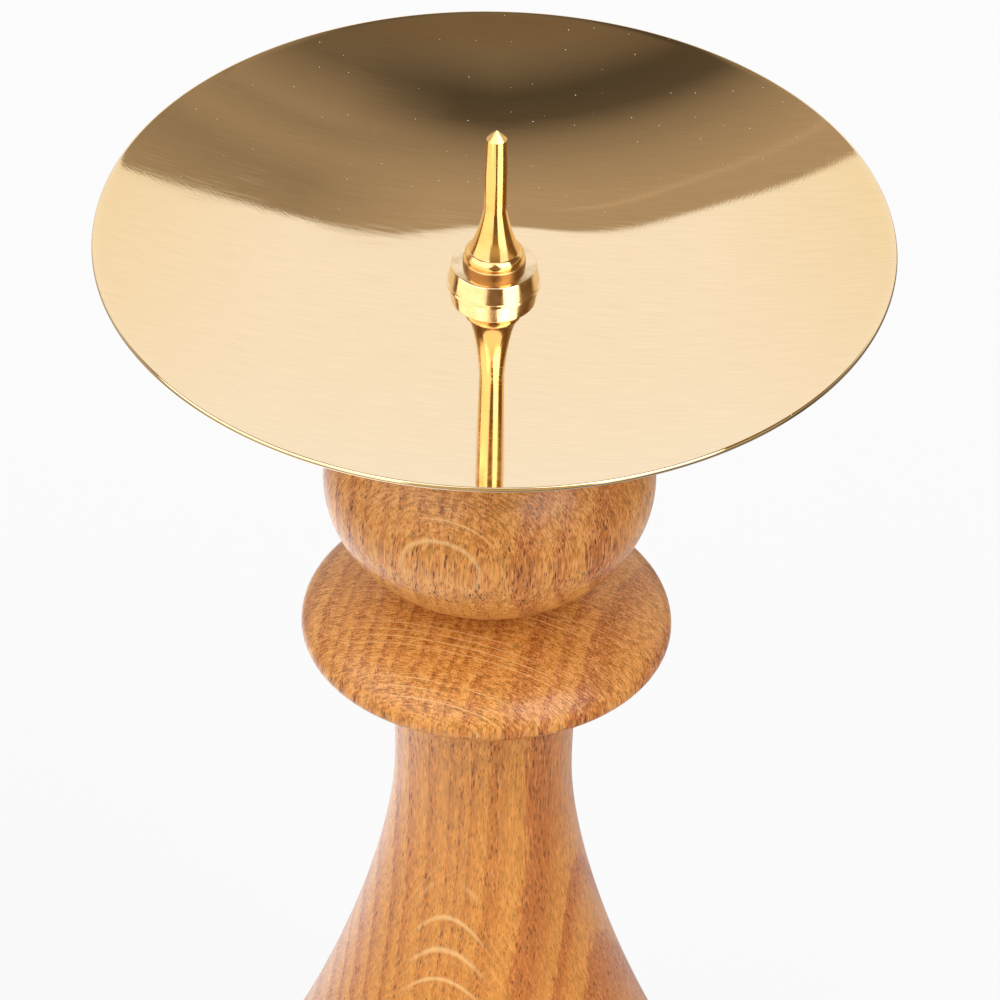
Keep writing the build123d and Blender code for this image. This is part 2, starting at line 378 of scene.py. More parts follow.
def fitted(piece, solid, body, material):
    """Puts a finished piece in the place of its solid, on its body, with its finish."""
    piece.data.materials.clear()
    piece.data.materials.append(material)
    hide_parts(solid)
    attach(piece, body)


def node(tree, kind, inputs=(), stops=(), **settings):
    """Adds a shader node and gives its outputs.

    Inputs are a list by place or a dictionary by name, and an input may be a socket to link. Stops
    are the (place, colour) stops of a colour ramp, where a colour may be one number for a grey.
    """
    made = tree.nodes.new("ShaderNode" + kind)
    for key, value in settings.items():
        setattr(made, key, value)
    for key, value in inputs.items() if isinstance(inputs, dict) else enumerate(inputs):
        if isinstance(value, bpy.types.NodeSocket):
            tree.links.new(value, made.inputs[key])
        else:
            made.inputs[key].default_value = value
    for i, (place, shade) in enumerate(stops):
        band = made.color_ramp.elements
        stop = band[i] if i < len(band) else band.new(place)
        stop.position = place
        stop.color = (shade, shade, shade, 1) if isinstance(shade, (int, float)) else shade
    return made.outputs


def new_material(name):
    """An empty node material, and its tree."""
    material = bpy.data.materials.new(name)
    material.use_nodes = True
    material.node_tree.nodes.clear()
    return material, material.node_tree


def oak(props):
    """Lacquered oak, turned and sanded.

    Years are flat layers across the grain, with rows of open pores at the start of each. Pores are
    short dark dashes along the fibres. Rays are thin upright plates that show as pale arcs where the
    turned surface cuts them flat, and as fine hatching where it cuts them square. All sizes here are
    in millimetres: across the years, along the rays and up the fibres.
    """
    material, tree = new_material("lacquered_oak")
    place = node(tree, "TexCoord")["Object"]
    board = node(
        tree, "Mapping", {"Vector": place, "Rotation": (0, 0, GRAIN_TURN), "Scale": PER_MM}
    )["Vector"]
    waves = node(tree, "VectorMath", [board, WAVE_SIZE], operation="DIVIDE")[0]
    waves = node(tree, "TexNoise", {"Vector": waves, "Scale": 1, "Detail": 2})["Color"]
    waves = node(tree, "VectorMath", [waves, (0.5, 0.5, 0.5)], operation="SUBTRACT")[0]
    fibre = node(tree, "VectorMath", [waves, WAVE_REACH, board], operation="MULTIPLY_ADD")[0]
    across, along, up = node(tree, "SeparateXYZ", [fibre])

    # The tree grew faster later on: its outer years, on the right, are about twice as wide and a
    # little darker.
    later = node(tree, "Math", [across, WIDE_FROM], operation="SUBTRACT")[0]
    later = node(tree, "Math", [later, 0], operation="MAXIMUM")[0]
    slower = 1 / WIDE_YEAR - 1 / YEAR_WIDTH
    years = node(tree, "Math", [across, YEAR_WIDTH], operation="DIVIDE")[0]
    years = node(tree, "Math", [later, slower, years], operation="MULTIPLY_ADD")[0]
    wander = node(
        tree, "TexNoise", {"W": years, "Scale": 0.35, "Detail": 1}, noise_dimensions="1D"
    )["Fac"]
    years = node(tree, "Math", [wander, 2.2, years], operation="MULTIPLY_ADD")[0]
    ragged = node(tree, "VectorMath", [fibre, RAGGED_SIZE], operation="DIVIDE")[0]
    ragged = node(tree, "TexNoise", {"Vector": ragged, "Scale": 1, "Detail": 3})["Fac"]
    years = node(tree, "Math", [ragged, 0.4, years], operation="MULTIPLY_ADD")[0]
    season = node(tree, "Math", [years], operation="FRACT")[0]
    porous = node(
        tree, "ValToRGB", [season], stops=[(0, 0.04), (0.04, 1), (0.22, 1), (0.32, 0.03), (1, 0.02)]
    )[0]
    # Where the cut lies along a year or crosses the fibres, its open wood shows as a broad dark band.
    normal = node(tree, "NewGeometry")["Normal"]
    years_way = (cos(GRAIN_TURN), -sin(GRAIN_TURN), 0)
    square = node(tree, "VectorMath", [normal, years_way], operation="DOT_PRODUCT")["Value"]
    square = node(tree, "Math", [square], operation="ABSOLUTE")[0]
    band = node(tree, "ValToRGB", [season], stops=EARLY_WOOD)[0]
    upright = node(tree, "SeparateXYZ", [normal])["Z"]
    broad = node(tree, "Math", [upright, 0.55], operation="MULTIPLY")[0]
    broad = node(tree, "Math", [broad, square], operation="MAXIMUM")[0]
    broad = node(tree, "MapRange", [broad, 0.2, 0.7, 0.45, 0.9])[0]
    deeper = node(tree, "MapRange", [later, 0, 15, 0, 0.22])[0]
    band = node(tree, "Math", [band, broad, deeper], operation="MULTIPLY_ADD")[0]
    wood = node(
        tree, "Mix", {0: band, 6: props.latewood, 7: props.earlywood}, data_type="RGBA"
    )[2]

    # Large vessels stand in rows at the start of a year, small ones everywhere.
    pore = None
    spread = node(tree, "MapRange", [porous, 0, 1, 0.5, 1])[0]
    for size, share, depth in ((LARGE_PORE, porous, 0.9), (SMALL_PORE, spread, 0.65)):
        cells = node(tree, "VectorMath", [fibre, size], operation="DIVIDE")[0]
        cells = node(tree, "TexVoronoi", {"Vector": cells, "Scale": 1})
        hole = node(
            tree, "MapRange", [cells["Distance"], 0.2, 0.34, depth, 0],
            interpolation_type="SMOOTHSTEP",
        )[0]
        chosen = node(tree, "SeparateXYZ", [cells["Color"]])[0]
        chosen = node(tree, "Math", [chosen, share], operation="LESS_THAN")[0]
        hole = node(tree, "Math", [hole, chosen], operation="MULTIPLY")[0]
        pore = node(tree, "Math", [hole, pore or 0], operation="MAXIMUM")[0]

    # Each ray is a plate with a thickness of its own. Large ones come in groups of four and are
    # clearest where the cut lies flat in them, on the sides and the upper faces. On faces that turn
    # down all rays fade out: painted shade, for the pale flecks lie in shadow there.
    leaning = node(tree, "Math", [up, RAY_LEAN, along], operation="MULTIPLY_ADD")[0]
    rays = []
    for gap, thin, thick, group, reach, few, flat, edge in RAY_KINDS:
        row = node(tree, "Math", [leaning, 1 / gap, RAY_START / gap], operation="MULTIPLY_ADD")[0]
        number = node(tree, "Math", [row], operation="ROUND")[0]
        off = node(tree, "Math", [row, number], operation="SUBTRACT")[0]
        off = node(tree, "Math", [off], operation="ABSOLUTE")[0]
        width = node(tree, "TexWhiteNoise", {"W": number}, noise_dimensions="1D")["Value"]
        width = node(tree, "MapRange", [width, 0, 1, thin, thick])[0]
        off = node(tree, "Math", [off, width], operation="DIVIDE")[0]
        plate = node(tree, "MapRange", [off, 0.15, 1, 1, 0], interpolation_type="SMOOTHSTEP")[0]
        turn = node(tree, "Math", [number, 2])[0]
        turn = node(tree, "Math", [turn, RAY_TURN], operation="FLOORED_MODULO")[0]
        kept = node(tree, "Math", [turn, group - 0.5], operation="LESS_THAN")[0]
        own = node(tree, "Math", [number, 7.7], operation="MULTIPLY")[0]
        own = node(tree, "CombineXYZ", [across, own, up])[0]
        own = node(tree, "VectorMath", [own, reach], operation="DIVIDE")[0]
        patch = node(tree, "TexNoise", {"Vector": own, "Scale": 1, "Detail": 1})["Fac"]
        patch = node(
            tree, "MapRange", [patch, few, few + 0.07, 0, 1], interpolation_type="SMOOTHSTEP"
        )[0]
        cut = node(
            tree, "MapRange", [square, 0.16, 0.4, flat, edge], interpolation_type="SMOOTHSTEP"
        )[0]
        # Painted shade: rays fade out where the surface faces down.
        shown = node(tree, "MapRange", [upright, -0.3, 0, 0, 1], interpolation_type="SMOOTHSTEP")[0]
        for mask in (kept, patch, cut, shown):
            plate = node(tree, "Math", [plate, mask], operation="MULTIPLY")[0]
        rays.append(plate)

    # Fibres, mottling and slow changes of tone over the board. The photo is sharper at ring and
    # bulb than below the neck, so the fine contrast grows with height. Where the cut crosses the
    # fibres, short dashes lie along the rays instead.
    crossed = node(tree, "MapRange", [upright, 0, 0.7, 0, 1], interpolation_type="SMOOTHSTEP")[0]
    coarse = node(tree, "MapRange", [up, COARSE_FROM, COARSE_TO, 0, 1])[0]
    open_grain = node(tree, "MapRange", [coarse, 0, 1, 0.5, 1])[0]
    hatched = node(tree, "Math", [coarse, crossed], operation="MULTIPLY")[0]
    pore_depth = node(tree, "MapRange", [coarse, 0, 1, 0.8, 1.3])[0]
    pore_depth = node(tree, "Math", [hatched, -0.6, pore_depth], operation="MULTIPLY_ADD")[0]
    # Painted light: the wood is about a tenth darker below the neck than at ring and bulb, for the
    # stronger light on the upper pieces.
    shade = node(tree, "MapRange", [coarse, 0, 1, 0.915, 1])[0]
    for size, detail, dark, light, contrast in (
        (FIBRE_SIZE, 3, 0.6, 1.4, open_grain), (MOTTLE_SIZE, 4, 0.7, 1.28, open_grain),
        (DASH_SIZE, 2, 0.54, 1.54, hatched), (BOARD_SIZE, 3, 0.92, 1.06, 1),
    ):
        spot = node(tree, "VectorMath", [fibre, size], operation="DIVIDE")[0]
        spot = node(tree, "TexNoise", {"Vector": spot, "Scale": 1, "Detail": detail})["Fac"]
        spot = node(tree, "MapRange", [spot, 0.3, 0.7, dark, light])[0]
        spot = node(tree, "Mix", {0: contrast, 2: 1, 3: spot})[0]
        shade = node(tree, "Math", [spot, shade], operation="MULTIPLY")[0]
    # Dark places are brown, light ones turn pale rather than bright.
    darker = node(tree, "Math", [shade, 1.03], operation="MINIMUM")[0]
    wood = node(tree, "VectorMath", {0: wood, "Scale": darker}, operation="SCALE")[0]
    pale = node(tree, "MapRange", [shade, 1, 1.4, 0, 0.34])[0]
    wood = node(tree, "Mix", {0: pale, 6: wood, 7: props.ray}, data_type="RGBA")[2]
    for mask, strength, tint in (
        (rays[1], 0.16, props.ray), (pore, pore_depth, props.pore), (rays[0], 0.55, props.ray),
    ):
        mask = node(tree, "Math", [mask, strength], operation="MULTIPLY")[0]
        wood = node(tree, "Mix", {0: mask, 6: wood, 7: tint}, data_type="RGBA")[2]
    height = node(tree, "Math", [shade, pore], operation="SUBTRACT")[0]
    bump = node(tree, "Bump", {"Height": height, "Strength": 0.3, "Distance": 0.1 * MM})[0]
    rough = node(tree, "MapRange", [pore, 0, 1, 0.4, 0.6])[0]
    shader = node(
        tree, "BsdfPrincipled",
        {"Base Color": wood, "Roughness": rough, "Normal": bump, "IOR": 1.5,
         "Specular IOR Level": 0.35, "Coat Weight": 0.42, "Coat Roughness": 0.22},
    )[0]
    node(tree, "OutputMaterial", [shader])
    return material


def sheet_brass(props):
    """Spun brass sheet, polished by hand on a cloth wheel.

    A mirror with fine hairlines: they slant on the left side, stand upright on the right, and fray
    the edges of what it mirrors. Bundles of them scatter a little light, mostly on the left. Real
    hairlines are some hundredths of a millimetre wide; these are drawn coarser so that they show.
    Specks of dust catch the light.
    """
    material, tree = new_material("polished_sheet_brass")
    place = node(tree, "TexCoord")["Object"]
    east = node(tree, "SeparateXYZ", [place])["X"]
    height = None
    for turn, width, end, most in HAIRLINES:
        lines = node(
            tree, "Mapping",
            {"Vector": place, "Rotation": (0, 0, radians(turn)),
             "Scale": (HAIR_LENGTH * MM, width * MM, 1)},
            vector_type="TEXTURE",
        )["Vector"]
        hair = node(
            tree, "TexNoise", {"Vector": lines, "Scale": 1, "Detail": 2, "Roughness": 0.6},
            noise_dimensions="2D",
        )["Fac"]
        share = node(tree, "MapRange", [east, 0, end, 0.1, most])[0]
        hair = node(tree, "Math", [hair, share], operation="MULTIPLY")[0]
        height = node(tree, "Math", [hair, height or 0])[0]
    bump = node(tree, "Bump", {"Height": height, "Strength": 1, "Distance": 0.0012 * MM})[0]

    haze = node(tree, "MapRange", [east, 0.03, -0.02, 0.35, 1])[0]
    tone = None
    for turn, size, low, high in BUNDLES:
        bundle = node(
            tree, "Mapping",
            {"Vector": place, "Rotation": (0, 0, radians(turn)),
             "Scale": [side * MM for side in size]},
            vector_type="TEXTURE",
        )["Vector"]
        bundle = node(
            tree, "TexNoise", {"Vector": bundle, "Scale": 1, "Detail": 3}, noise_dimensions="2D"
        )["Fac"]
        bundle = node(tree, "MapRange", [bundle, low, high, 0, 1])[0]
        haze = node(tree, "Math", [haze, bundle], operation="MULTIPLY")[0]
        tone = tone or node(tree, "MapRange", [bundle, 0, 1, 0.97, 1.03])[0]
    rough = node(tree, "Math", [haze, 0.1, 0.02], operation="MULTIPLY_ADD")[0]

    specks = node(
        tree, "TexVoronoi", {"Vector": place, "Scale": 1000 / SPECK_GAP}, voronoi_dimensions="2D"
    )
    pick, size, _ = node(tree, "SeparateXYZ", [specks["Color"]])
    size = node(tree, "MapRange", [size, 0, 1, 0.01, 0.02])[0]
    speck = node(tree, "Math", [specks["Distance"], size], operation="LESS_THAN")[0]
    chosen = node(tree, "Math", [pick, 0.5], operation="LESS_THAN")[0]
    speck = node(tree, "Math", [speck, chosen], operation="MULTIPLY")[0]
    metal = node(tree, "VectorMath", {0: props.pan_metal[:3], "Scale": tone}, operation="SCALE")[0]
    metal = node(tree, "Mix", {0: speck, 6: metal, 7: props.dust}, data_type="RGBA")[2]
    rough = node(tree, "Math", [speck, 0.7, rough], operation="MULTIPLY_ADD")[0]
    shader = node(
        tree, "BsdfPrincipled",
        {"Base Color": metal, "Metallic": 1, "Roughness": rough, "Normal": bump},
    )[0]
    node(tree, "OutputMaterial", [shader])
    return material


def rod_brass(name, shade, shaded_up_to, props):
    """Brass rod turned on a lathe and polished: fine rings round the axis stay in the surface.

    The rings are drawn coarser than the hundredths of a millimetre of a real tool's feed. Up to the
    given height the rod is painted dark and rough: painted shade in the corner at the spike's foot.
    """
    material, tree = new_material(name)
    place = node(tree, "TexCoord")["Object"]
    up = node(tree, "SeparateXYZ", [place])["Z"]
    rings = node(
        tree, "TexNoise", {"W": up, "Scale": 1000 / RING_GAP, "Detail": 2}, noise_dimensions="1D"
    )["Fac"]
    bump = node(tree, "Bump", {"Height": rings, "Strength": 1, "Distance": 0.004 * MM})[0]
    dull = node(tree, "TexNoise", {"Vector": place, "Scale": 1000 / DULL_SIZE, "Detail": 3})["Fac"]
    rough = node(tree, "MapRange", [dull, 0.35, 0.7, 0.1, 0.22])[0]
    dull = node(tree, "MapRange", [dull, 0.5, 0.8, 0, 0.35])[0]
    metal = node(
        tree, "Mix", {0: dull, 6: shade, 7: props.tarnish}, data_type="RGBA"
    )[2]
    # Painted shade: below the given height the rod is mixed towards the dark foot colour and made
    # rougher.
    foot_shade = node(tree, "MapRange", [up, shaded_up_to - 0.4 * MM, shaded_up_to, 0.8, 0])[0]
    metal = node(tree, "Mix", {0: foot_shade, 6: metal, 7: props.painted_foot_shade}, data_type="RGBA")[2]
    rough = node(tree, "Math", [foot_shade, 0.3, rough], operation="MULTIPLY_ADD")[0]
    shader = node(
        tree, "BsdfPrincipled",
        {"Base Color": metal, "Metallic": 1, "Roughness": rough, "Normal": bump},
    )[0]
    node(tree, "OutputMaterial", [shader])
    return material


def zinc_steel(props):
    """Zinc plated steel: a grey metal with a faint cloudy bloom."""
    material, tree = new_material("zinc_plated_steel")
    place = node(tree, "TexCoord")["Object"]
    bloom = node(tree, "TexNoise", {"Vector": place, "Scale": 1000 / BLOOM_SIZE, "Detail": 4})["Fac"]
    rough = node(tree, "MapRange", [bloom, 0, 1, 0.25, 0.5])[0]
    metal = node(
        tree, "ValToRGB", [bloom], stops=[(0.3, props.zinc_bloom), (0.7, props.zinc)]
    )[0]
    shader = node(tree, "BsdfPrincipled", {"Base Color": metal, "Metallic": 1, "Roughness": rough})[0]
    node(tree, "OutputMaterial", [shader])
    return material


def wool_felt(props):
    """Pressed wool felt: matt, with short fibres standing on it; its mottling is painted shade in the
    hollows between them.
    """
    material, tree = new_material("wool_felt")
    place = node(tree, "TexCoord")["Object"]
    fibres = node(
        tree, "TexNoise",
        {"Vector": place, "Scale": 1000 / FELT_FIBRE, "Detail": 5, "Roughness": 0.7,
         "Distortion": 1.5},
    )["Fac"]
    # Painted shade: the felt turns darker where the fibre bump is low, in the hollows between fibres.
    wool = node(
        tree, "ValToRGB", [fibres], stops=[(0.3, props.felt_hollow_shade), (0.7, props.felt)]
    )[0]
    bump = node(tree, "Bump", {"Height": fibres, "Strength": 0.8, "Distance": 0.3 * MM})[0]
    shader = node(
        tree, "BsdfPrincipled",
        {"Base Color": wool, "Roughness": 0.95, "Sheen Weight": 0.4, "Normal": bump},
    )[0]
    node(tree, "OutputMaterial", [shader])
    return material


class CANDLESTAND_OT_column(bpy.types.Operator):
    """Turns the oak column: trumpet, neck, ring, bulb and cup, with its tenon and the stud's hole"""

    bl_idname = "candlestand.column"
    bl_label = "Oak column"

    def execute(self, context):
        s = context.scene.candle_oak
        seat = COLUMN_HIGH[2]
        joint = FOOT_HIGH[2]
        tenon = COLUMN_LOW[2]
        bulb = seat - s.bulb_below_seat
        ring = bulb - s.ring_below_bulb
        neck = ring - s.neck_below_ring
        underside = ring - s.ring_edge
        rim = seat - s.cup_rim
        reach = s.joint_radius - s.neck_radius
        rise = neck - joint
        outline = [
            (0, tenon), (s.tenon_radius - s.tenon_chamfer, tenon),
            (s.tenon_radius, tenon + s.tenon_chamfer), (s.tenon_radius, joint),
        ]
        outline += curve(
            (s.joint_radius, joint),
            (s.neck_radius + TRUMPET_LOW_PULL[0] * reach, joint + TRUMPET_LOW_PULL[1] * rise),
            (s.neck_radius, joint + TRUMPET_HIGH_PULL * rise),
            (s.neck_radius, neck),
            steps=48,
        )
        outline += curve(
            (s.neck_radius, neck), (s.neck_radius, underside),
            (s.neck_radius + s.cove_width, underside),
        )
        outline += arc((s.ring_radius - s.ring_edge, ring), (s.ring_edge,) * 2, -pi / 2, 0, steps=10)
        crevice = acos(s.crevice_radius / s.ring_radius)
        outline += arc((0, ring), (s.ring_radius, s.ring_dome), 0, crevice)
        crevice = acos(s.crevice_radius / s.bulb_radius)
        outline += arc((0, bulb), (s.bulb_radius, s.bulb_lower), -crevice, 0, steps=32)
        outline += arc(
            (0, bulb), (s.bulb_radius, s.bulb_upper), 0, acos(s.cup_foot / s.bulb_radius), steps=32
        )
        outline += curve(outline[-1], (s.cup_foot, rim), (s.seat_radius, rim))
        outline += arc(
            (s.seat_radius - s.seat_round, seat - s.seat_round), (s.seat_round,) * 2, 0, pi / 2,
            steps=8,
        )
        outline += [
            (s.pilot_radius, seat), (s.pilot_radius, seat - s.pilot_depth), (0, seat - s.pilot_depth)
        ]
        fitted(turned("column", outline), "oak_column", "stand", oak_finish(context))
        return {"FINISHED"}


class CANDLESTAND_OT_foot(bpy.types.Operator):
    """Turns the oak foot with its band, its mortise and the recess for the felt"""

    bl_idname = "candlestand.foot"
    bl_label = "Oak foot"

    def execute(self, context):
        s = context.scene.candle_oak
        low = FOOT_LOW[2]
        edge = FOOT_HIGH[0]
        top = FOOT_HIGH[2]
        band = low + s.band_height
        start = band + s.quirk
        reach = s.trumpet_foot - s.joint_radius
        recess = FELT_HIGH[2]
        recess_radius = FELT_HIGH[0] + s.felt_gap
        mortise_radius = s.tenon_radius + s.glue_gap
        outline = [(0, recess), (recess_radius, recess), (recess_radius, low)]
        rounding = (s.band_round,) * 2
        inside = edge - s.band_round
        outline += arc((inside, low + s.band_round), rounding, -pi / 2, 0, steps=12)
        outline += arc((inside, band - s.band_round), rounding, 0, pi / 2, steps=12)
        outline += [(s.trumpet_foot, band)]
        outline += curve(
            (s.trumpet_foot, start),
            (s.joint_radius + FOOT_PULL[0] * reach, start + FOOT_PULL[1] * (top - start)),
            (s.joint_radius, top),
        )
        outline += [
            (mortise_radius, top), (mortise_radius, top - s.mortise_depth), (0, top - s.mortise_depth)
        ]
        fitted(turned("foot", outline), "oak_foot", "stand", oak_finish(context))
        return {"FINISHED"}


class CANDLESTAND_OT_felt(bpy.types.Operator):
    """Cuts the felt pad, with soft edges"""

    bl_idname = "candlestand.felt"
    bl_label = "Felt pad"

    def execute(self, context):
        s = context.scene.candle_oak
        low, high, edge = FELT_LOW[2], FELT_HIGH[2], FELT_HIGH[0]
        soft = (s.felt_round,) * 2
        outline = [(0, low)]
        outline += arc((edge - s.felt_round, low + s.felt_round), soft, -pi / 2, 0, steps=5)
        outline += arc((edge - s.felt_round, high - s.felt_round), soft, 0, pi / 2, steps=5)
        outline += [(0, high)]
        fitted(turned("felt", outline), "felt_pad", "stand", wool_felt(s))
        return {"FINISHED"}


class CANDLESTAND_OT_stud(bpy.types.Operator):
    """Makes the steel stud: a core, a machine thread above the seat and a wood thread below it"""

    bl_idname = "candlestand.stud"
    bl_label = "Steel stud"

    def ridge(self, name, core, crest, pitch, low, high):
        """A thread's ridge: a wedge drawn at its start and screwed up round the core."""
        wedge = [
            (core, low), (crest, low + THREAD_CREST * pitch), (core, low + THREAD_WIDTH * pitch),
            (core, low),
        ]
        made = drawn(name, wedge)
        bpy.ops.object.mode_set(mode="OBJECT")
        screw = made.modifiers.new("thread", "SCREW")
        screw.screw_offset = pitch
        screw.iterations = int((high - low) / pitch) - 1
        screw.steps = screw.render_steps = THREAD_STEPS
        bpy.ops.object.modifier_apply(modifier=screw.name)
        bpy.ops.object.mode_set(mode="EDIT")
        bpy.ops.mesh.select_all(action="SELECT")
        bpy.ops.mesh.fill_holes(sides=len(wedge))
        return closed(made)

    def execute(self, context):
        s = context.scene.candle_stud
        low, high, crest = STUD_LOW[2], STUD_HIGH[2], STUD_HIGH[0]
        seat = COLUMN_HIGH[2]
        core = crest - s.depth
        outline = [
            (0, low), (core, low + s.point), (core, high - s.chamfer), (core - s.chamfer, high),
            (0, high),
        ]
        stud = turned("stud", outline, steps=STUD_STEPS)
        root = core - s.sunk
        machine = self.ridge("machine_thread", root, crest, s.pitch, seat, high - s.chamfer)
        wood = self.ridge(
            "wood_thread", root, crest, s.wood_pitch, low + s.point, seat - s.plain
        )
        fitted(joined(stud, machine, wood), "hanger_bolt", "stand", zinc_steel(s))
        return {"FINISHED"}


class CANDLESTAND_OT_pan(bpy.types.Operator):
    """Spins the brass drip pan: a flat middle, one arc out to the rim and a rounded cut edge"""

    bl_idname = "candlestand.pan"
    bl_label = "Drip pan"

    def execute(self, context):
        s = context.scene.candle_brass
        under = PAN_LOW[2]
        inside = under + s.sheet
        reach = s.pan_radius - s.flat_radius
        bend = (reach ** 2 + s.pan_depth ** 2) / (2 * s.pan_depth)
        end = asin(reach / bend)
        middle = (s.flat_radius, inside + bend)
        # The rounding takes a little off both arcs and turns through the rim's edge.
        short = s.rim_round / bend
        inner = arc(middle, (bend,) * 2, -pi / 2, -pi / 2 + end - short, steps=56)
        outer = arc(middle, (bend + s.sheet,) * 2, -pi / 2, -pi / 2 + end - short, steps=56)
        along = Vector((cos(end), sin(end)))
        out = Vector((sin(end), -cos(end)))
        corner = Vector(inner[-1])
        turns = [radians(90 / RIM_STEPS * i) for i in range(1, RIM_STEPS + 1)]
        upper = [
            tuple(corner + along * s.rim_round * sin(t) + out * s.rim_round * (1 - cos(t)))
            for t in turns
        ]
        corner = Vector(outer[-1])
        lower = [
            tuple(corner + along * s.rim_round * sin(t) - out * s.rim_round * (1 - cos(t)))
            for t in turns
        ]
        outline = [(s.hole_radius, inside)] + inner + upper + lower[::-1] + outer[::-1]
        outline += [(s.hole_radius, under), (s.hole_radius, inside)]
        fitted(turned("pan", outline, steps=PAN_STEPS), "drip_pan", "pan", sheet_brass(s))
        return {"FINISHED"}


class CANDLESTAND_OT_collar(bpy.types.Operator):
    """Turns the brass collar: a thin lip, a leaning side and a flat top"""

    bl_idname = "candlestand.collar"
    bl_label = "Collar"

    def execute(self, context):
        s = context.scene.candle_brass
        low, high, lip = COLLAR_LOW[2], COLLAR_HIGH[2], COLLAR_HIGH[0]
        outline = [
            (s.hole_radius, low), (lip, low), (lip, low + s.lip_height),
            (s.waist_radius, low + s.lip_height),
        ]
        outline += arc(
            (s.collar_top - s.collar_round, high - s.collar_round), (s.collar_round,) * 2, 0,
            pi / 2, steps=6,
        )
        outline += [(s.hole_radius, high), (s.hole_radius, low)]
        ring = turned("collar_ring", outline, steps=COLLAR_STEPS)
        fitted(ring, "collar", "collar", collar_finish(context))
        return {"FINISHED"}


class CANDLESTAND_OT_spike(bpy.types.Operator):
    """Turns the brass spike: flange, bead, flare and shank, with a cut tip of flat facets"""

    bl_idname = "candlestand.spike"
    bl_label = "Spike"

    def execute(self, context):
        s = context.scene.candle_brass
        foot, top = SPIKE_LOW[2], SPIKE_HIGH[2]
        flange = SPIKE_HIGH[0]
        outline = [
            (0, foot + s.bore_depth + s.bore_point), (s.bore_radius, foot + s.bore_depth),
            (s.bore_radius, foot), (flange, foot),
        ]
        outline += arc(
            (flange - s.flange_round, foot + s.flange_height - s.flange_round), (s.flange_round,) * 2,
            0, pi / 2, steps=8,
        )
        outline += [(s.bead_foot, foot + s.flange_height)]
        outline += curve(
            (s.bead_foot, foot + s.bead_low), (s.bead_pull, foot + s.bead_middle),
            (s.bead_top, foot + s.bead_high), steps=14,
        )
        outline += curve(
            (s.flare_radius, foot + s.flare_low), (s.flare_pull, foot + s.flare_pull_height),
            (s.shank_pull, foot + s.shank_pull_height), (s.shank_radius, foot + s.shank_bottom),
            steps=28,
        )
        outline += [
            (s.shank_radius, foot + s.shank_top), (s.tip_radius, foot + s.tip_bottom),
            (s.tip_radius, top), (0, top),
        ]
        spike = turned("spike", outline, steps=SPIKE_STEPS)
        self.cut_tip(spike, s, foot + s.tip_bottom, top)
        fitted(spike, "pricket", "pricket", spike_finish(context))
        return {"FINISHED"}

    def cut_tip(self, spike, s, low, high):
        """Cuts flat facets off the round end, up to a small flat, with an edge to the front."""
        bpy.ops.object.mode_set(mode="EDIT")
        share = cos(pi / s.tip_sides)
        run = (s.tip_radius - s.tip_flat) * share
        for i in range(s.tip_sides):
            bearing = (i + 0.5) * tau / s.tip_sides
            ahead = Vector((cos(bearing), sin(bearing), 0))
            bpy.ops.mesh.select_all(action="SELECT")
            bpy.ops.mesh.bisect(
                plane_co=ahead * s.tip_flat * share + Vector((0, 0, high)),
                plane_no=(ahead * (high - low) + Vector((0, 0, run))).normalized(),
                use_fill=True, clear_outer=True, threshold=WELD,
            )
        closed(spike, sharp=FACET_SHARP)


def oak_finish(context):
    """The oak of column and foot, made once."""
    return bpy.data.materials.get("lacquered_oak") or oak(context.scene.candle_oak)


def collar_finish(context):
    """The collar's brass, as pale as the pan's."""
    props = context.scene.candle_brass
    return rod_brass("turned_pale_brass", props.pan_metal, COLLAR_LOW[2], props)


def spike_finish(context):
    """The spike's brass, yellower than the pan's."""
    props = context.scene.candle_brass
    return rod_brass(
        "turned_yellow_brass", props.rod_metal, SPIKE_LOW[2] + props.flange_height, props
    )


